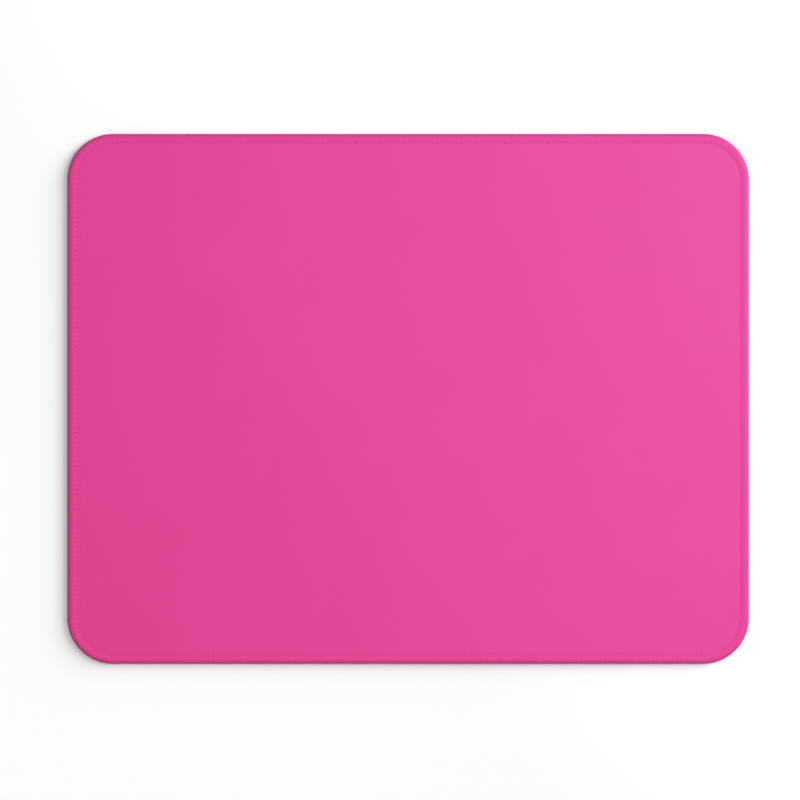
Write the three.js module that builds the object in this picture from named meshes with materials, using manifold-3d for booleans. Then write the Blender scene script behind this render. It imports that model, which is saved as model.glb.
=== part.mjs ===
// A cloth mouse pad with an overlocked edge, lying flat on a table with its tread down.
// Millimetres, +Z up. The origin is on the table under the pad's middle, and +X runs along its length.
// Four sheets are laminated and die-cut, and the cut edge is squeezed and wrapped by three threads.
// The needle thread runs along a line near the edge. There it holds the loops of two looper threads,
// one over the edge and one under it, which meet at mid-height on the rim.
import * as THREE from "three";
import { mergeVertices } from "three/addons/utils/BufferGeometryUtils.js";
import Module from "manifold-3d";

const wasm = await Module();
wasm.setup();

// Finished outline
const padLength = 228.6;
const padWidth = 177.8;
const cornerRadius = 15.4;

// Sheets, from the table up
const gripThickness = 0.7;
const foamThickness = 1.9;
const filmThickness = 0.1;
const clothThickness = 0.3;
const rubberAtCut = 0.5; // grip and foam together, where they are squeezed flat at the cut edge

// Overlock stitching. Insets are measured inwards from the finished edge.
const needleInset = 3.1;
const needleDiameter = 0.2;
const stitchLength = 1.6;
const looperThickness = 0.4;
const stitchGroove = 0.12; // depth of the valley between two loops
const crownRise = 0.18; // how far the upper loops stand above the cloth
const tableClearance = 0.04; // between the lower loops and the table
const seatGap = 0.05; // between a thread and what it lies on
const dipWidth = 1.1; // the cloth slopes down to the needle line over this width
const crownShare = 0.42; // inset of the loops' highest line, as a share of the needle line's
const shoulderShare = 0.1; // inset of the line where the loops turn down the rim, likewise
const shoulderHeightShare = 0.76; // height of that line, as a share of the crown's
const leanShare = 0.25; // how far a loop leans on its way to the rim, in stitches

// Tread moulded in the underside: V grooves side by side, each a zigzag along the pad
const treadBorder = 2.3; // plain rubber between the stitching's dip and the grooves
const treadSpacing = 5;
const treadWidth = 1.5;
const treadDepth = 0.3;
const treadLeg = 30;
const treadSwing = 15; // how far a groove moves across the pad in one leg
const cutOverrun = 1;

// Facets
const cornerSteps = 6;
const threadSideSteps = 6; // along a straight side, where a looper thread lies on the cloth
const needleSides = 6;

const padThickness = gripThickness + foamThickness + filmThickness + clothThickness;
const midHeight = padThickness / 2;
const dipDepth = needleDiameter + seatGap; // so that the needle thread lies flush with the cloth
const dipInset = needleInset + dipWidth;
const crownInset = needleInset * crownShare;
const cutInset = looperThickness + seatGap;

// The finished outline moved inwards: four corner arcs with straight lines between them
function outline(inset) {
  const x = padLength / 2 - cornerRadius;
  const y = padWidth / 2 - cornerRadius;
  const r = cornerRadius - inset;
  return new THREE.Shape()
    .absarc(x, -y, r, -Math.PI / 2, 0)
    .absarc(x, y, r, 0, Math.PI / 2)
    .absarc(-x, y, r, Math.PI / 2, Math.PI)
    .absarc(-x, -y, r, Math.PI, 1.5 * Math.PI)
    .closePath();
}

const needleLine = outline(needleInset);
const needleLength = needleLine.getLength();
const curveEnds = needleLine.getCurveLengths();
const stitchCount = Math.round(needleLength / stitchLength);
const stitchPitch = needleLength / stitchCount;

// The point a distance along the needle line, and the direction straight out to the edge from there
function needlePlace(along) {
  const distance = THREE.MathUtils.euclideanModulo(along, needleLength);
  const i = curveEnds.findIndex((end) => distance <= end);
  const curve = needleLine.curves[i];
  const share = Math.max(0, 1 - (curveEnds[i] - distance) / curve.getLength());
  const ahead = curve.getTangentAt(share);
  return { point: curve.getPointAt(share), out: new THREE.Vector2(ahead.y, -ahead.x) };
}

// Distances along the needle line where facets meet
function facetStations(sideSteps) {
  return needleLine.curves.flatMap((curve, i) => {
    const steps = curve.isLineCurve ? sideSteps : cornerSteps;
    const step = curve.getLength() / steps;
    return Array.from({ length: steps }, (_, k) => curveEnds[i] - (steps - k) * step);
  });
}

// Distances along the needle line with so many to a stitch, the first a share of a stitch past the start
function stitchStations(perStitch, startShare) {
  return Array.from(
    { length: stitchCount * perStitch },
    (_, i) => (i / perStitch + startShare) * stitchPitch,
  );
}

// A loop of points round the pad. The shape gives each point's inset, its height above mid-height
// and how far it slides along the edge.
function loop(stations, shape) {
  return stations.map((along, i) => {
    const { inset, height, slide = 0 } = shape(i);
    const { point, out } = needlePlace(along + slide);
    point.addScaledVector(out, needleInset - inset);
    return { along, at: new THREE.Vector3(point.x, point.y, midHeight + height) };
  });
}

// Triangles between two loops, of which the second lies further on round the section
function strip(first, second, firstIndex, secondIndex) {
  const distance = (points, k) =>
    points[k % points.length].along + Math.floor(k / points.length) * needleLength;
  const faces = [];
  let i = 0;
  let j = 0;
  while (i < first.length || j < second.length) {
    const a = firstIndex + (i % first.length);
    const b = secondIndex + (j % second.length);
    const isFirstNext = distance(first, i + 1) <= distance(second, j + 1);
    if (i < first.length && (isFirstNext || j === second.length)) {
      i += 1;
      faces.push(a, b, firstIndex + (i % first.length));
    } else {
      j += 1;
      faces.push(a, b, secondIndex + (j % second.length));
    }
  }
  return faces;
}

// The flat faces that close a sheet inside its first loop or its last
function cap(points, index, isTop) {
  const contour = points.map(({ at }) => new THREE.Vector2(at.x, at.y));
  const order = isTop ? [0, 1, 2] : [0, 2, 1];
  return THREE.ShapeUtils.triangulateShape(contour, [])
    .flatMap((face) => order.map((k) => index + face[k]));
}

// A closed skin over loops that follow one another round a section: the section of a ring,
// whose last loop joins its first, or of a sheet, which is capped inside both
function skin(loops, isRing) {
  const starts = loops.map((_, k) => loops.slice(0, k).flat().length);
  const faces = loops.flatMap((points, k) => {
    const next = (k + 1) % loops.length;
    const isLast = next === 0;
    return isLast && !isRing ? [] : strip(points, loops[next], starts[k], starts[next]);
  });
  if (!isRing) {
    faces.push(...cap(loops[0], starts[0], true));
    faces.push(...cap(loops.at(-1), starts.at(-1), false));
  }
  return new THREE.BufferGeometry()
    .setFromPoints(loops.flat().map(({ at }) => at))
    .setIndex(faces);
}

// The squeezed edge of the laminate, from the flat pad out to the cut
const edgeSection = [
  { inset: dipInset, thickness: padThickness },
  { inset: needleInset, thickness: padThickness - 2 * dipDepth },
  { inset: crownInset, thickness: padThickness - 2 * (tableClearance + looperThickness + seatGap) },
  { inset: cutInset, thickness: rubberAtCut + filmThickness + clothThickness },
];

// Heights above mid-height of the sheets' five faces, from the underside up. Where the pad is squeezed,
// the cloth and the film keep their thickness and the two rubber sheets share what is left.
function faceHeights(thickness) {
  const rubber = thickness - filmThickness - clothThickness;
  const underside = -thickness / 2;
  const gripTop = underside + (rubber * gripThickness) / (gripThickness + foamThickness);
  const foamTop = underside + rubber;
  return [underside, gripTop, foamTop, foamTop + filmThickness, thickness / 2];
}

// One sheet of the laminate, counted from the table. Neighbours share a face exactly.
function sheet(number) {
  const stations = facetStations(1);
  const face = (i) =>
    edgeSection.map(({ inset, thickness }) =>
      loop(stations, () => ({ inset, height: faceHeights(thickness)[i] })),
    );
  return skin([...face(number + 1), ...face(number).reverse()], false);
}

// The height above mid-height of a thread's underside where it lies on the squeezed edge
function seatHeight(inset) {
  const i = edgeSection.findIndex((place) => place.inset <= inset);
  const outer = edgeSection[i];
  const inner = edgeSection[i - 1] ?? outer;
  const share = (inset - outer.inset) / (inner.inset - outer.inset || 1);
  return THREE.MathUtils.lerp(outer.thickness, inner.thickness, share) / 2 + seatGap;
}

// The needle thread, lying in the dip of the cloth
function needleThread() {
  const radius = needleDiameter / 2;
  const centre = seatHeight(needleInset) + radius;
  const loops = Array.from({ length: needleSides }, (_, k) => {
    const turn = (2 * Math.PI * k) / needleSides;
    return loop(facetStations(1), () => ({
      inset: needleInset + radius * Math.cos(turn),
      height: centre + radius * Math.sin(turn),
    }));
  });
  return skin(loops, true);
}

// A looper thread as one band of touching loops, over the edge on side 1 or under it on side -1.
// Each loop swells between two needle holes and leans along the edge. The bands lean opposite ways,
// so their loops meet half a stitch apart.
function looperThread(side, crown) {
  const lean = (inset) => side * leanShare * stitchPitch * (1 - inset / needleInset);
  const plain = (inset, height) =>
    loop(facetStations(threadSideSteps), () => ({ inset, height: side * height }));
  const looped = (stations, inset, height) =>
    loop(stations, (i) => {
      const isValley = stations.length > stitchCount && i % 2 === 1;
      const groove = isValley ? stitchGroove : 0;
      return { inset, height: side * (height - groove), slide: lean(inset) };
    });
  const holes = stitchStations(1, 1 / 2);
  const swells = stitchStations(1, 0);
  const end = needleInset - needleDiameter / 2 - seatGap;
  const shoulder = needleInset * shoulderShare;
  const rimGap = seatGap / 2;
  const loops = [
    looped(holes, end, seatHeight(end) + needleDiameter / 2),
    looped(stitchStations(2, 0), crownInset, crown),
    looped(swells, shoulder, crown * shoulderHeightShare),
    looped(swells, 0, rimGap),
    plain(looperThickness, rimGap),
    plain(looperThickness, seatHeight(cutInset)),
    plain(crownInset, seatHeight(crownInset)),
    plain(end, seatHeight(end)),
  ];
  return skin(side > 0 ? loops : loops.reverse(), true);
}

// Solids for cutting
function solidOf(geometry) {
  const bare = geometry.clone();
  bare.deleteAttribute("normal");
  bare.deleteAttribute("uv");
  const merged = mergeVertices(bare);
  return new wasm.Manifold(
    new wasm.Mesh({
      numProp: 3,
      vertProperties: merged.attributes.position.array,
      triVerts: new Uint32Array(merged.index.array),
    }),
  );
}

function geometryOf(solid) {
  const mesh = solid.getMesh();
  return new THREE.BufferGeometry()
    .setAttribute("position", new THREE.BufferAttribute(mesh.vertProperties, 3))
    .setIndex(new THREE.BufferAttribute(mesh.triVerts, 1));
}

// Straight V grooves along the pad, each then bent into legs that swing from side to side.
// A leg's middle lies over the pad's middle, so that a flat land does too.
function treadGrooves() {
  const legs = 2 * Math.ceil(padLength / treadLeg / 2) + 1;
  const rows = Math.ceil((padWidth + treadSwing) / treadSpacing / 2);
  const grooves = Array.from({ length: 2 * rows }, (_, k) => {
    const y = (k - rows + 1 / 2) * treadSpacing;
    return new THREE.Shape([
      new THREE.Vector2(y - treadWidth / 2, -cutOverrun),
      new THREE.Vector2(y + treadWidth / 2, -cutOverrun),
      new THREE.Vector2(y + treadWidth / 2, 0),
      new THREE.Vector2(y, treadDepth),
      new THREE.Vector2(y - treadWidth / 2, 0),
    ]);
  });
  const length = legs * treadLeg;
  const cuts = new THREE.ExtrudeGeometry(grooves, { depth: length, steps: legs, bevelEnabled: false });
  const places = cuts.attributes.position;
  for (let i = 0; i < places.count; i += 1) {
    const [across, up, along] = [places.getX(i), places.getY(i), places.getZ(i)];
    const swing = Math.round(along / treadLeg) % 2 === 0 ? -treadSwing / 2 : treadSwing / 2;
    places.setXYZ(i, along - length / 2, across + swing, up);
  }
  return solidOf(cuts);
}

// The lowest sheet with its tread cut inside a plain border
function gripBase() {
  const treadZone = new THREE.ExtrudeGeometry(outline(dipInset + treadBorder), {
    depth: 2 * (cutOverrun + gripThickness),
    bevelEnabled: false,
    curveSegments: cornerSteps,
  }).translate(0, 0, -cutOverrun - gripThickness);
  const grooves = treadGrooves().intersect(solidOf(treadZone));
  return geometryOf(solidOf(sheet(0)).subtract(grooves));
}

const finishes = {
  cloth: { color: 0xe64d9a, roughness: 0.85 },
  thread: { color: 0xe04a95, roughness: 0.7 },
  film: { color: 0xd8d2c4, roughness: 0.4 },
  foam: { color: 0x232326, roughness: 0.95 },
  rubber: { color: 0x18181a, roughness: 0.8 },
};

function piece(name, geometry, finish) {
  geometry.computeVertexNormals();
  const material = new THREE.MeshStandardMaterial({ ...finishes[finish], metalness: 0 });
  const mesh = new THREE.Mesh(geometry, material);
  mesh.name = name;
  return mesh;
}

const laminate = new THREE.Group().add(
  piece("grip_base", gripBase(), "rubber"),
  piece("foam_core", sheet(1), "foam"),
  piece("bond_film", sheet(2), "film"),
  piece("surface_cloth", sheet(3), "cloth"),
);

const stitching = new THREE.Group().add(
  piece("upper_looper_thread", looperThread(1, midHeight + crownRise), "thread"),
  piece("lower_looper_thread", looperThread(-1, midHeight - tableClearance), "thread"),
  piece("needle_thread", needleThread(), "thread"),
);

const mousePad = new THREE.Group().add(laminate, stitching);

export default mousePad;
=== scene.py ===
from math import acos, cos, pi, radians, sin

import bmesh
import bpy
import numpy as np
from mathutils import Matrix, Vector, noise


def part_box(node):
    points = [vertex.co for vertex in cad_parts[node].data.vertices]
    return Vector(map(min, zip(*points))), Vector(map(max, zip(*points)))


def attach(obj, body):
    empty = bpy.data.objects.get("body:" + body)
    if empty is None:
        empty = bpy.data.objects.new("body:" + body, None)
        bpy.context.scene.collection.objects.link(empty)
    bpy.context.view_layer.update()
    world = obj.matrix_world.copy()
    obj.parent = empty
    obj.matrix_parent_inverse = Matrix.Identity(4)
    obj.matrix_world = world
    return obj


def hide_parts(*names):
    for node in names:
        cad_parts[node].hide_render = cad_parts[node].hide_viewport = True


# A cloth mouse pad with an overlocked edge, put together from the table up: the rubber sheet with its
# tread, the foam, the glue film, the printed cloth, and the three threads that wrap the cut edge.
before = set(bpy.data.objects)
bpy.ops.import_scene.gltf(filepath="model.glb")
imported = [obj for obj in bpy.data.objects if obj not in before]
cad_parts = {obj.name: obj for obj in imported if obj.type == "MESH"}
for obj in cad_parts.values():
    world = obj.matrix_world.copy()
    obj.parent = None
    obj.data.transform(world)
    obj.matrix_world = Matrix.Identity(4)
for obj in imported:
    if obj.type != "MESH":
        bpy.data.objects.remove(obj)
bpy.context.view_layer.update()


# Grip base. A sheet of black natural rubber, pressed in a mould that leaves zigzag grooves in its
# underside. The flat lands between them lie on the table and hold the pad in place.
mm = 0.001
weld = 0.001 * mm  # points closer than this are one point
flat_angle = radians(1)  # triangles that turn by less than this are parts of one face
groove_angle = radians(15)  # a groove's lips and bottom turn by more than this
groove_round = 0.14 * mm
rubber_crease = radians(35)

rubber_black = (0.0135, 0.0133, 0.0140, 1)
rubber_dusty = (0.0290, 0.0285, 0.0290, 1)


def filled(made, values):
    """The shader node with these values in its sockets, whose names have _ where a socket has a space."""
    for socket, value in values.items():
        made.inputs[socket.replace("_", " ")].default_value = value
    return made


def material(name, **values):
    """A new finish, its links and its main shader, which has these values."""
    finish = bpy.data.materials.new(name)
    finish.use_nodes = True
    surface = filled(finish.node_tree.nodes["Principled BSDF"], values)
    return finish, finish.node_tree.links, surface


def node(finish, kind, options=(), **values):
    """A new shader node in a finish or in the room, with these options and socket values."""
    made = finish.node_tree.nodes.new("ShaderNode" + kind)
    for option, value in dict(options).items():
        setattr(made, option, value)
    return filled(made, values)


def pattern(finish, kind, **values):
    """A texture that keeps its place on the piece."""
    made = node(finish, "Tex" + kind, **values)
    place = node(finish, "TexCoord")
    finish.node_tree.links.new(place.outputs["Object"], made.inputs["Vector"])
    return made


def roughened(finish, height, least, most):
    """Makes a finish rougher where a pattern is high."""
    links = finish.node_tree.links
    roughness = node(finish, "MapRange", To_Min=least, To_Max=most)
    links.new(height, roughness.inputs["Value"])
    links.new(roughness.outputs["Result"], finish.node_tree.nodes["Principled BSDF"].inputs["Roughness"])


def embossed(finish, height, strength, depth):
    """Raises the surface of a finish where a pattern is high, by bump."""
    links = finish.node_tree.links
    bump = node(finish, "Bump", Strength=strength, Distance=depth)
    links.new(height, bump.inputs["Height"])
    links.new(bump.outputs["Normal"], finish.node_tree.nodes["Principled BSDF"].inputs["Normal"])


def shown_as(name, shape, finish, crease=None):
    """The finished mesh as one piece of the pad, which lies still. It is shaded smooth, apart from edges
    that turn by more than the crease angle."""
    for face in shape.faces:
        face.smooth = True
    mesh = bpy.data.meshes.new(name)
    shape.to_mesh(mesh)
    shape.free()
    if crease:
        mesh.set_sharp_from_angle(angle=crease)
    mesh.materials.append(finish)
    made = bpy.data.objects.new(name, mesh)
    bpy.context.scene.collection.objects.link(made)
    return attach(made, "root")


rubber, links, surface = material("moulded_rubber")
grain = pattern(rubber, "Noise", Scale=5200, Detail=3)  # the mould's fine spark-eroded grain
dust = pattern(rubber, "Noise", Scale=60, Detail=5)  # a faint bloom of dust and release agent
tint = node(rubber, "ValToRGB")
clean, dusty = tint.color_ramp.elements
clean.position, clean.color = 0.42, rubber_black
dusty.position, dusty.color = 0.78, rubber_dusty
links.new(dust.outputs["Fac"], tint.inputs["Fac"])
links.new(tint.outputs["Color"], surface.inputs["Base Color"])
roughened(rubber, dust.outputs["Fac"], least=0.58, most=0.76)
embossed(rubber, grain.outputs["Fac"], strength=0.35, depth=0.03 * mm)

shape = bmesh.new()
shape.from_mesh(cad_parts["grip_base"].data)
bmesh.ops.remove_doubles(shape, verts=shape.verts, dist=weld)
bmesh.ops.dissolve_limit(shape, angle_limit=flat_angle, verts=shape.verts, edges=shape.edges)
bmesh.ops.bevel(
    shape, geom=[edge for edge in shape.edges if edge.calc_face_angle(0) > groove_angle],
    offset=groove_round, offset_type="OFFSET", affect="EDGES", segments=2, profile=0.5, material=-1,
    clamp_overlap=True,
)
grip_base = shown_as("tread_rubber", shape, rubber, rubber_crease)
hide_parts("grip_base")


# Foam core. Black closed-cell foam rubber that gives the pad its thickness. It is die-cut with the other
# sheets, and the stitching squeezes it nearly flat all round its edge.
half_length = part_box("upper_looper_thread")[1].x
half_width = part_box("upper_looper_thread")[1].y
mid_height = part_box("surface_cloth")[1].z / 2
corner_radius = 15.4 * mm
cut_inset = 0.45 * mm  # where the sheets end, in from the finished edge and under the wrapped thread
needle_inset = 3.1 * mm  # the line of needle holes, in from the finished edge
fold_width = 1.2 * mm  # over which the flat pad slopes down to the needle line
half_at_needle = 1.485 * mm  # half of the laminate's thickness under the needle line
half_at_cut = 0.45 * mm  # and at its cut edge
squeeze_curve = 0.6  # below 1, so that the sheets thin out most of all close to their cut edge
sheet_corner_steps = 14
sheet_crease = radians(40)

# The seam was sewn wider than needle_inset on three sides. What it is wider by grows from none at the rim
# to all of it at the needle line, and from none at the table to all of it on top of the pad.
left_side, back_side, front_side = (-1, 0, 0), (0, 1, 0), (0, -1, 0)
wider_at = {left_side: 0.65 * mm, back_side: 0.15 * mm, front_side: 0.15 * mm}
widening_curve = 1.5

needle_radius = corner_radius - needle_inset
quarter_turn = pi / 2 * needle_radius
corner_x, corner_y = half_length - corner_radius, half_width - corner_radius
needle_length = 4 * (quarter_turn + corner_x + corner_y)

foam_share = (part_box("foam_core")[1].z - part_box("foam_core")[0].z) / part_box("foam_core")[1].z
film_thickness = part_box("bond_film")[1].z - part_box("foam_core")[1].z
cloth_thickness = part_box("surface_cloth")[1].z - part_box("bond_film")[1].z

foam_black = (0.018, 0.018, 0.020, 1)
foam_cell_painted_shade = (0.006, 0.006, 0.007, 1)  # painted shade in the bottoms of the cut cells


def eased(share):
    """A share from 0 to 1 that leaves and arrives gently."""
    share = min(1, max(0, share))
    return share * share * (3 - 2 * share)


def round_the_edge(along, inset, height):
    """The point a distance along the needle line, anticlockwise from the foot of the right-hand front
    corner, that lies so far in from the finished edge and so high."""
    rest = along % needle_length
    runs = [(1, -1, corner_y), (1, 1, corner_x), (-1, 1, corner_y), (-1, -1, corner_x)]
    for turn, (right, back, half_side) in enumerate(runs):
        angle = (turn - 1) * pi / 2 + min(rest, quarter_turn) / needle_radius
        slide = max(0, rest - quarter_turn)
        if slide <= 2 * half_side:
            break
        rest -= quarter_turn + 2 * half_side
    out = Vector((cos(angle), sin(angle), 0))
    travel = Vector((-sin(angle), cos(angle), 0))
    wider = sum(extra * eased(out.dot(side)) for side, extra in wider_at.items())
    wider *= min(1, max(0, inset) / needle_inset) ** widening_curve * min(1, height / (2 * mid_height))
    corner = Vector((right * corner_x, back * corner_y, height))
    return corner + (corner_radius - inset - wider) * out + slide * travel


def corner_stations(steps):
    """Distances along the needle line at which a sheet with plain sides has its facets."""
    found = []
    for side in (corner_y, corner_x, corner_y, corner_x):
        start = found[-1] + 2 * side if found else 0
        found += [start + quarter_turn * step / steps for step in range(steps + 1)]
    return found + [needle_length]


def squeezed(inset):
    """Half of the laminate's thickness: full on the flat pad, less under the stitching."""
    if inset >= needle_inset:
        return half_at_needle + (mid_height - half_at_needle) * eased((inset - needle_inset) / fold_width)
    share = (inset - cut_inset) / (needle_inset - cut_inset)
    return half_at_cut + (half_at_needle - half_at_cut) * min(1, max(0, share)) ** squeeze_curve


# The height of each sheet's face, at a distance along the needle line and in from the finished edge.
def cloth_top(along, inset):
    return mid_height + squeezed(inset)


def cloth_bottom(along, inset):
    return cloth_top(along, inset) - cloth_thickness


def foam_top(along, inset):
    return cloth_bottom(along, inset) - film_thickness


def foam_bottom(along, inset):
    underside = mid_height - squeezed(inset)
    return underside + (1 - foam_share) * (foam_top(along, inset) - underside)


def grid(columns, rows):
    """A net of faces whose points have x and y from 0 to 1, and a UV map of the same."""
    shape = bmesh.new()
    shape.loops.layers.uv.new("UVMap")
    middle = Matrix.Translation((0.5, 0.5, 0))
    bmesh.ops.create_grid(
        shape, x_segments=columns, y_segments=rows, size=0.5, matrix=middle, calc_uvs=True
    )
    return shape


def laminate_sheet(stations, insets, top, bottom):
    """One sheet of the laminate: a strip over its edge zone, from the flat top round the cut edge to the
    flat underside, which is carried round the pad and filled inside."""
    section = [(inset, top) for inset in insets] + [(inset, bottom) for inset in reversed(insets)]
    shape = grid(len(stations) - 1, len(section) - 1)
    for point in shape.verts:
        along = stations[round(point.co.x * (len(stations) - 1))]
        inset, height = section[round(point.co.y * (len(section) - 1))]
        point.co = round_the_edge(along, inset, height(along, inset))
    bmesh.ops.remove_doubles(shape, verts=shape.verts, dist=weld)
    bmesh.ops.holes_fill(shape, edges=shape.edges, sides=0)
    bmesh.ops.recalc_face_normals(shape, faces=shape.faces)
    return shape


def blended(finish, first, second, share):
    """A colour between two others, by the share that a pattern gives."""
    mix = node(finish, "Mix", {"data_type": "RGBA"}, A=first, B=second)
    finish.node_tree.links.new(share, mix.inputs["Factor"])
    return mix.outputs["Result"]


foam, links, surface = material("cell_foam", Roughness=0.95)
cells = pattern(foam, "Voronoi", Scale=2600)
tint = blended(foam, foam_cell_painted_shade, foam_black, cells.outputs["Distance"])
links.new(tint, surface.inputs["Base Color"])
embossed(foam, cells.outputs["Distance"], strength=0.6, depth=0.08 * mm)

plain_insets = [needle_inset + share * fold_width for share in (1.3, 1, 0.8, 0.6, 0.4, 0.2, 0)]
plain_insets += [2.2 * mm, 1.3 * mm, 0.8 * mm, cut_inset]
shape = laminate_sheet(corner_stations(sheet_corner_steps), plain_insets, foam_top, foam_bottom)
foam_core = shown_as("foam_pad", shape, foam, sheet_crease)
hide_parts("foam_core")


# Bond film. A thin web of hot-melt glue that was ironed between the foam and the cloth. It follows both,
# and only its cut edge could be seen, behind the wrapped thread.
film_amber = (0.62, 0.58, 0.50, 1)

film, links, surface = material("hot_melt_film", Base_Color=film_amber, Transmission_Weight=0.25)
web = pattern(film, "Noise", Scale=900, Detail=4)
roughened(film, web.outputs["Fac"], least=0.3, most=0.6)
embossed(film, web.outputs["Fac"], strength=0.3, depth=0.03 * mm)

shape = laminate_sheet(corner_stations(sheet_corner_steps), plain_insets, cloth_bottom, foam_top)
bond_film = shown_as("glue_film", shape, film, sheet_crease)
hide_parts("bond_film")


# Surface cloth. A fine polyester knit, printed one plain pink, glued flat to the foam. The needle pulls it
# down at each hole, so that small puckers run in from the stitching.
stitch_setting = 1.6 * mm  # on the sewing machine
stitch_count = round(needle_length / stitch_setting)
stitch = needle_length / stitch_count
columns_per_stitch = 4
loosest_pull, tightest_pull = 0.2, 1.9
pull_variation = 2.4
dimple_depth = 0.025 * mm
dimple_width = 0.40 * mm
pucker_depth = 0.009 * mm
pucker_variation = 0.012 * mm
pucker_reach = 1.9 * mm
yarn_wander = 0.08 * mm
cloth_crease = radians(50)

cloth_pink = (0.644, 0.0274, 0.2552, 1)  # at the back right corner
cloth_pink_light = (0.6756, 0.0326, 0.2736, 1)
# painted glare: the pinks are paler in green and blue towards the back right, where the lamps' glare
# falls, and deeper towards the front left corner
out_of_glare_share = (1, 0.70, 0.85, 1)  # at the front left corner, as shares of the pinks above
in_glare_share = (1, 1, 1, 1)
drift_way = (0.75, 0.66, 0)  # from the deeper corner to the other
drift_reach = 140 * mm  # each way from the middle


def uneven(turns, change, row):
    """A smooth random value between -1 and 1 at so many stitches from the start. It is the same again
    where the seam closes. A greater change makes it vary faster, and each row gives another such value."""
    return noise.noise(Vector((change * (round(turns, 3) % stitch_count), row, 0)))


def pull(turns):
    """How hard the needle thread pulls at the nearest hole: 1 on average."""
    tightness = 1 + pull_variation * uneven(round(turns), change=0.61, row=7)
    return min(tightest_pull, max(loosest_pull, tightness))


def puckered_top(along, inset):
    """The cloth's top with a dimple at each needle hole and a shallow fold running in from it."""
    off_hole = (along / stitch + 0.5) % 1 - 0.5
    to_hole = Vector((off_hole * stitch, inset - needle_inset)).length
    dimple = dimple_depth * pull(along / stitch) * 2 ** (-((to_hole / dimple_width) ** 2))
    deep = pucker_depth + pucker_variation * uneven(along / stitch, change=0.32, row=0)
    fade = eased((needle_inset + pucker_reach - inset) / pucker_reach) * eased(inset / needle_inset)
    return cloth_top(along, inset) - dimple - deep * cos(2 * pi * off_hole) * fade


def with_some(finish, base, share, other):
    """A pattern with a share of another one added."""
    links = finish.node_tree.links
    total = node(finish, "Math", {"operation": "MULTIPLY_ADD"})
    links.new(other, total.inputs[0])
    total.inputs[1].default_value = share
    links.new(base, total.inputs[2])
    return total.outputs["Value"]


def ramp_across(finish, way, start, end, low=0.0, high=1.0, interpolation="LINEAR"):
    """A value that goes from low to high between two distances from the pad's middle along a way."""
    links = finish.node_tree.links
    place = node(finish, "TexCoord")
    distance = node(finish, "VectorMath", {"operation": "DOT_PRODUCT"})
    distance.inputs[1].default_value = way
    ramp = node(
        finish, "MapRange", {"interpolation_type": interpolation},
        From_Min=start, From_Max=end, To_Min=low, To_Max=high,
    )
    links.new(place.outputs["Object"], distance.inputs[0])
    links.new(distance.outputs["Value"], ramp.inputs["Value"])
    return ramp.outputs["Result"]


def shaded(finish, colour, shade):
    """A colour times a shade."""
    links = finish.node_tree.links
    product = node(finish, "Mix", {"data_type": "RGBA", "blend_type": "MULTIPLY"}, Factor=1.0)
    links.new(colour, product.inputs["A"])
    links.new(shade, product.inputs["B"])
    return product.outputs["Result"]


def with_painted_glare(finish, pink):
    """The pink with painted glare: paler in green and blue towards the back right corner of the pad, where
    the lamps' glare falls, and a shade deeper towards the front left corner.
    """
    share = ramp_across(finish, drift_way, -drift_reach, drift_reach)
    return shaded(finish, pink, blended(finish, out_of_glare_share, in_glare_share, share))


cloth, links, surface = material(
    "printed_knit", Sheen_Weight=0.04, Sheen_Roughness=0.45, Specular_IOR_Level=0.46
)
place = node(cloth, "TexCoord")
warp = pattern(cloth, "Noise", Scale=420, Detail=2)
wander = node(cloth, "VectorMath", {"operation": "MULTIPLY_ADD"})  # the yarns wander a little
wander.inputs[1].default_value = (yarn_wander, yarn_wander, yarn_wander)
wales = node(cloth, "TexWave", {"bands_direction": "X"}, Scale=1190)  # columns of loops
courses = node(cloth, "TexWave", {"bands_direction": "Y"}, Scale=1310)  # rows of loops
knit = node(cloth, "Math", {"operation": "MULTIPLY"})
fuzz = pattern(cloth, "Noise", Scale=3800, Detail=3)
dye = pattern(cloth, "Noise", Scale=38, Detail=6, Roughness=0.55)  # the print takes unevenly
links.new(warp.outputs["Color"], wander.inputs[0])
links.new(place.outputs["Object"], wander.inputs[2])
links.new(wander.outputs["Vector"], wales.inputs["Vector"])
links.new(wander.outputs["Vector"], courses.inputs["Vector"])
links.new(wales.outputs["Fac"], knit.inputs[0])
links.new(courses.outputs["Fac"], knit.inputs[1])
dye_and_knit = with_some(cloth, dye.outputs["Fac"], 0.18, knit.outputs["Value"])
knit_and_fuzz = with_some(cloth, knit.outputs["Value"], 0.5, fuzz.outputs["Fac"])
tint = blended(cloth, cloth_pink, cloth_pink_light, dye_and_knit)
links.new(with_painted_glare(cloth, tint), surface.inputs["Base Color"])
roughened(cloth, fuzz.outputs["Fac"], least=0.46, most=0.58)
embossed(cloth, knit_and_fuzz, strength=0.30, depth=0.04 * mm)

columns = stitch_count * columns_per_stitch
cloth_stations = [needle_length * column / columns for column in range(columns + 1)]
cloth_insets = [6.4, 5.4, 4.9, 4.5, 4.15, 3.85, 3.6, 3.4, 3.25, 3.1, 2.8, 2.2, 1.3, 0.45]  # in mm
cloth_insets = [inset * mm for inset in cloth_insets]
shape = laminate_sheet(cloth_stations, cloth_insets, puckered_top, cloth_bottom)
surface_cloth = shown_as("pink_cloth", shape, cloth, cloth_crease)
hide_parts("surface_cloth")


# Looper threads. Bulky textured polyester, dyed to match the cloth. One passes to and fro over the edge,
# one under it, from needle hole to rim and back, and they hook into one another at mid-height on the rim.
# Each is soft enough to spread, so that its strands lie side by side and hide the cut edge.
upper_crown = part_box("upper_looper_thread")[1].z - mid_height
lower_crown = mid_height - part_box("lower_looper_thread")[0].z
crown_inset = 1.65 * mm
turn_inset = 3.35 * mm  # where a loop turns round the needle thread
foot_inset = 3.4 * mm  # where the slope down from the crown would end
foot_drop = 0.205 * mm
roll_fullness = 2.9  # 2 would be a quarter ellipse
slope_steps, rim_steps, even_steps = 24, 90, 240  # points in the outer line of the wrapped edge

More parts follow.
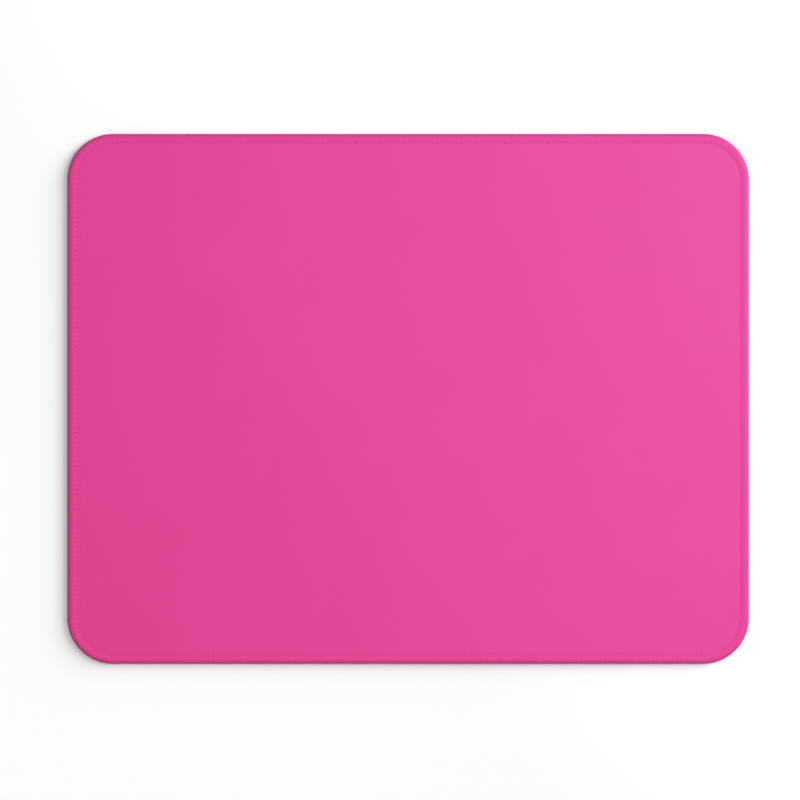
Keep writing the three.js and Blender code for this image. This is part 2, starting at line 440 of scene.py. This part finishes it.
loop_reach = 0.2 * mm  # how far a turn at the rim passes mid-height
loop_lean = 0.25  # how far a loop's turn at the rim is ahead of its turn at the needle, in stitches
loop_squareness = 0.9  # 0 would be an even wave, 1 has its two strands side by side
loop_wander = 0.03  # in stitches

# These go by how far out a strand is, from 0 at the needle thread to 1 at the rim.
ring_shares = (0, 0.07, 0.24, 0.40, 0.53, 0.66, 0.80)  # each has a ring of points, out and back
strand_half_width = {0: 0.25, 0.1: 0.48, 0.25: 0.59, 0.7: 0.58, 0.85: 0.53, 1: 0.50}  # in mm
strand_thin_end = {0: 0.10 * mm, 0.2: 0.16 * mm}  # half its depth where it dips into the needle hole
strand_full_at = 0.4  # where it comes to its full depth
strand_doming = {0.5: 1, 0.8: 4}  # it stands rounder where it turns at the rim
tight_draw = {0: 0.45, 0.25: 0}  # how much a tight stitch draws a loop's turn together
looper_painted_shade = {0: 0.97, 0.08: 1, 0.20: 1, 0.54: 0.89, 0.80: 0.75}  # painted shade: darker towards the rim, where the loops turn down and hook into one another, and a little at their tips by the needle holes

strand_section = ((0, 1), (0.85, 0.88), (0.8, -1), (-0.8, -1), (-0.85, 0.88), (0, 1))  # across, outwards
strand_crease = radians(40)  # its flat outer face ends at edges that turn by more than this
outward = [acos(1 - 2 * share) / (2 * pi) for share in ring_shares]
loop_places = outward + [0.5] + [1 - place for place in reversed(outward[1:])]

thread_pink = cloth_pink
thread_pink_light = (0.6845, 0.0336, 0.2764, 1)
wave_repeat = pi / 10  # the Scale at which a wave repeats once
fibres_per_stitch, fibres_round = 5, 14
looper_twist = 4  # turns in a stitch
plies_round = 2


def roll_line(crown):
    """The outer line of the wrapped edge as inset and height above mid-height, at even steps from where
    a loop turns round the needle thread, over the crown and down past mid-height."""
    down = [(inset, crown - foot_drop * eased((inset - crown_inset) / (foot_inset - crown_inset)))
            for inset in np.linspace(turn_inset, crown_inset, slope_steps)[:-1]]
    bend = 2 / roll_fullness
    round_rim = [(crown_inset * (1 - cos(angle) ** bend), crown * sin(angle) ** bend)
                 for angle in np.linspace(pi / 2, 0, rim_steps)]
    line = np.array(down + round_rim + [(0, -loop_reach)])
    lengths = np.concatenate([[0], np.cumsum(np.linalg.norm(np.diff(line, axis=0), axis=1))])
    even = np.linspace(0, lengths[-1], even_steps)
    return np.stack([np.interp(even, lengths, line[:, k]) for k in (0, 1)], axis=1)


def by_share(share, table):
    """Values read off between the entries of a table that go by how far out a strand is."""
    return np.interp(share, list(table), list(table.values()))


def looper_thread(side, crown, thickness):
    """A looper thread as one tube all round the pad, over the edge on side 1 or under it on side -1."""
    line = roll_line(crown)
    facing = np.gradient(line, axis=0)[:, ::-1] * (1, -1)
    facing /= np.linalg.norm(facing, axis=1)[:, None]

    # The way of the strand's outer face, which swings out to the rim and back once in each stitch.
    turns = [loop + place for loop in range(stitch_count) for place in loop_places]
    turns = np.array(turns + [stitch_count])
    share = (1 - np.cos(2 * pi * turns)) / 2
    step = share * (len(line) - 1)
    inset, height, out_y, out_z = (
        np.interp(step, range(len(line)), values) for values in (*line.T, *facing.T)
    )
    along = turns + loop_squareness * np.sin(4 * pi * turns) / (4 * pi) + side * loop_lean * share
    along += [loop_wander * uneven(turn, change=1.7, row=3 * side) for turn in turns]
    outside = np.stack([along * stitch, inset, height], axis=1)
    normal = np.stack([0 * turns, out_y, out_z], axis=1)
    travel = np.gradient(outside, axis=0)
    travel[0] = travel[-1] = travel[0] + travel[-1]  # the thread's two ends meet
    across = np.cross(travel, normal)
    across /= np.linalg.norm(across, axis=1)[:, None]

    looseness = 1 - np.array([pull(turn) for turn in turns])
    spread = by_share(share, strand_half_width) * mm * (1 + by_share(share, tight_draw) * looseness)
    depth = by_share(share, {**strand_thin_end, strand_full_at: thickness / 2})
    doming = by_share(share, strand_doming)

    shape = grid(len(turns) - 1, len(strand_section) - 1)
    for point in shape.verts:
        ring = round(point.co.x * (len(turns) - 1))
        side_way, out_way = strand_section[round(point.co.y * (len(strand_section) - 1))]
        below = (1 - out_way) * (doming[ring] if out_way > 0 else 1)
        place = Vector(outside[ring]) - Vector(normal[ring]) * depth[ring] * below
        place += Vector(across[ring]) * spread[ring] * side_way
        point.co = round_the_edge(place.x, place.y, mid_height + side * place.z)
    bmesh.ops.remove_doubles(shape, verts=shape.verts, dist=weld)
    bmesh.ops.recalc_face_normals(shape, faces=shape.faces)
    return shape


def thread_finish(name, twist_per_stitch, painted_shades):
    """Dyed polyester thread, on a UV map that runs along it and round it. The painted shade goes with the
    stitches, from 0 at a needle hole to 1 halfway to the next, which is where a looper is at the rim."""
    finish, links, surface = material(
        name, Sheen_Weight=0.08, Sheen_Roughness=0.35, Specular_IOR_Level=0.48
    )
    strand = node(finish, "UVMap", {"uv_map": "UVMap"})
    stretch = node(finish, "Mapping", Scale=(stitch_count * fibres_per_stitch, fibres_round, 1))
    fibres = node(finish, "TexNoise", Scale=1, Detail=3)
    twist = node(finish, "Mapping", Scale=(stitch_count * twist_per_stitch, plies_round, 1))
    plies = node(finish, "TexWave", {"bands_direction": "DIAGONAL"}, Scale=0.5, Distortion=0.6)
    way_out = node(finish, "TexWave", Scale=stitch_count * wave_repeat)
    # painted shade, by how far along a stitch the thread is
    painted_shade_ramp = node(finish, "ValToRGB")
    stops = painted_shade_ramp.color_ramp.elements
    for count, (place, shade) in enumerate(painted_shades.items()):
        stop = stops[count] if count < 2 else stops.new(place)  # a new ramp has two stops
        stop.position, stop.color = place, (shade, shade, shade, 1)
    for coordinates, texture in ((stretch, fibres), (twist, plies)):
        links.new(strand.outputs["UV"], coordinates.inputs["Vector"])
        links.new(coordinates.outputs["Vector"], texture.inputs["Vector"])
    links.new(strand.outputs["UV"], way_out.inputs["Vector"])
    links.new(way_out.outputs["Fac"], painted_shade_ramp.inputs["Fac"])
    tint = blended(finish, thread_pink, thread_pink_light, fibres.outputs["Fac"])
    # the pink with painted glare, times the painted shade
    painted_shade_pink = shaded(finish, with_painted_glare(finish, tint), painted_shade_ramp.outputs["Color"])
    links.new(painted_shade_pink, surface.inputs["Base Color"])
    roughened(finish, fibres.outputs["Fac"], least=0.5, most=0.7)
    bulk = with_some(finish, fibres.outputs["Fac"], 0.6, plies.outputs["Fac"])
    embossed(finish, bulk, strength=0.35, depth=0.05 * mm)
    return finish


looper_pink = thread_finish("textured_polyester", looper_twist, looper_painted_shade)
shape = looper_thread(1, upper_crown, thickness=0.5 * mm)
upper_looper = shown_as("edge_loops_over", shape, looper_pink, strand_crease)
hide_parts("upper_looper_thread")

shape = looper_thread(-1, lower_crown, thickness=0.4 * mm)
lower_looper = shown_as("edge_loops_under", shape, looper_pink, strand_crease)
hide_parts("lower_looper_thread")


# Needle thread. Plain twisted polyester in straight stitches along the needle line. It goes down at each
# hole, through the loops over the edge, and holds both loopers.
needle_steps = 8  # in a stitch
needle_sides = 6
needle_thread_radius = 0.11 * mm
needle_height = 2 * mid_height - 0.08 * mm
height_variation = 0.06 * mm
needle_wander = 0.03 * mm
hole_dip = 0.18 * mm
hole_width = 0.20  # in stitches
needle_twist = 3  # turns in a stitch
needle_painted_shade = {0: 0.70, 1: 0.92}  # painted shade: darkest down in its holes, at 0, and a little darker between them

shape = grid(stitch_count * needle_steps, needle_sides)
for point in shape.verts:
    turns = point.co.x * stitch_count
    off_hole = abs((turns + 0.5) % 1 - 0.5)
    height = needle_height - hole_dip * pull(turns) * (1 - eased(off_hole / hole_width))
    height += height_variation * uneven(turns, change=0.35, row=11)
    inset = needle_inset + needle_wander * uneven(turns, change=0.9, row=5)
    angle = 2 * pi * point.co.y
    inset += needle_thread_radius * cos(angle)
    point.co = round_the_edge(turns * stitch, inset, height + needle_thread_radius * sin(angle))
bmesh.ops.remove_doubles(shape, verts=shape.verts, dist=weld)
bmesh.ops.recalc_face_normals(shape, faces=shape.faces)
needle_pink = thread_finish("twisted_polyester", needle_twist, needle_painted_shade)
needle_thread = shown_as("needle_stitches", shape, needle_pink)
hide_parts("needle_thread")


# The table for the picture. A white board that runs on past the picture, in soft light from all round. A
# wide key lamp and a low window stand to the right and a little behind, with a lamp overhead and a panel.
floor_half = 3.0
painted_white = (0.80, 0.80, 0.80, 1)
even_way, even_start, even_end = (0.517, 0.159, 0), -107 * mm, 90 * mm  # towards the lamps
near_lamps = 0.803  # how white the board is made there, to look as white as on the far side
glare_way, glare_reach = (0.78, 0.62, 0), 50 * mm  # towards the back right corner
over_exposed = 1.13
backdrop_start, backdrop_end = 0.20, 0.60  # from the middle of the pad
room_seen, room_on_matt = 1.0, 0.324  # the room's brightness, as it is seen and as it lights matt surfaces
lamp_distance = 1.8

shape = bmesh.new()
bmesh.ops.create_grid(shape, x_segments=1, y_segments=1, size=floor_half)
mesh = bpy.data.meshes.new("white_board")
shape.to_mesh(mesh)
shape.free()
floor = bpy.data.objects.new("white_board", mesh)
bpy.context.scene.collection.objects.link(floor)

board, links, surface = material("white_board", Roughness=0.9, Specular_IOR_Level=0)
mesh.materials.append(board)
rays = node(board, "LightPath")
place = node(board, "TexCoord")
# It looks pure white, evenly so from the far side to the side near the lamps, and over-exposed behind the
# pad and at its right, but it lights the pad as painted board does.
evened = ramp_across(board, even_way, even_start, even_end, 1.0, near_lamps)
glare = ramp_across(board, glare_way, -glare_reach, glare_reach, 1.0, over_exposed, "SMOOTHSTEP")
whiteness = node(board, "Math", {"operation": "MULTIPLY"})
white = node(board, "Mix", {"data_type": "RGBA"}, A=painted_white)
links.new(evened, whiteness.inputs[0])
links.new(glare, whiteness.inputs[1])
links.new(whiteness.outputs["Value"], white.inputs["B"])
links.new(rays.outputs["Is Camera Ray"], white.inputs["Factor"])
links.new(white.outputs["Result"], surface.inputs["Base Color"])
# Far from the pad the board runs into the white backdrop.
distance = node(board, "VectorMath", {"operation": "LENGTH"})
beyond = node(
    board, "MapRange", {"interpolation_type": "SMOOTHSTEP"}, From_Min=backdrop_start, From_Max=backdrop_end
)
seen_beyond = node(board, "Math", {"operation": "MULTIPLY"})
backdrop = node(board, "Emission")
both = node(board, "MixShader")
links.new(place.outputs["Object"], distance.inputs[0])
links.new(distance.outputs["Value"], beyond.inputs["Value"])
links.new(beyond.outputs["Result"], seen_beyond.inputs[0])
links.new(rays.outputs["Is Camera Ray"], seen_beyond.inputs[1])
links.new(seen_beyond.outputs["Value"], both.inputs["Fac"])
links.new(surface.outputs["BSDF"], both.inputs[1])
links.new(backdrop.outputs["Emission"], both.inputs[2])
links.new(both.outputs["Shader"], board.node_tree.nodes["Material Output"].inputs["Surface"])

world = bpy.data.worlds.new("studio")
bpy.context.scene.world = world
world.use_nodes = True
links = world.node_tree.links
room = filled(world.node_tree.nodes["Background"], {"Color": (1, 1, 1, 1)})
rays = node(world, "LightPath")
strength = node(world, "MapRange", To_Min=room_seen, To_Max=room_on_matt)
links.new(rays.outputs["Is Diffuse Ray"], strength.inputs["Value"])
links.new(strength.outputs["Result"], room.inputs["Strength"])


def lamp(name, place, size, watts):
    """A round lamp that faces the middle of the pad."""
    data = bpy.data.lights.new(name, "AREA")
    data.shape = "DISK"
    data.size, data.energy = size, watts
    made = bpy.data.objects.new(name, data)
    bpy.context.scene.collection.objects.link(made)
    made.location = place
    made.rotation_euler = (-Vector(place)).to_track_quat("-Z", "Y").to_euler()


def far_place(rise, turn):
    """A lamp's place so many degrees above the table and so many round from the right to the back."""
    rise, turn = radians(rise), radians(turn)
    return lamp_distance * Vector((cos(rise) * cos(turn), cos(rise) * sin(turn), sin(rise)))


lamp("key", far_place(40, 20), size=1.17, watts=15.0)
lamp("low_window", far_place(16, 28), size=0.96, watts=13.4)
lamp("overhead", (0.03, -0.07, 0.95), size=1.30, watts=3.85)
lamp("panel", (0.40, 0.14, 0.72), size=0.30, watts=0.90)


# Camera. It looks straight down through a long lens, from above a point a little to the left of the pad's
# middle.
lens_length = 85.0  # in mm, for a sensor 36 mm wide
picture_width = 268.4 * mm  # at mid-height, where the outline is widest
view_centre = (-2.69 * mm, -0.37 * mm)
optics = bpy.data.cameras.new("camera")
optics.lens = lens_length
optics.clip_start, optics.clip_end = 0.01, 20
camera = bpy.data.objects.new("camera", optics)
bpy.context.scene.collection.objects.link(camera)
camera.location = (*view_centre, mid_height + picture_width * lens_length / optics.sensor_width)
bpy.context.scene.camera = camera
bpy.context.scene.view_settings.view_transform = "Standard"
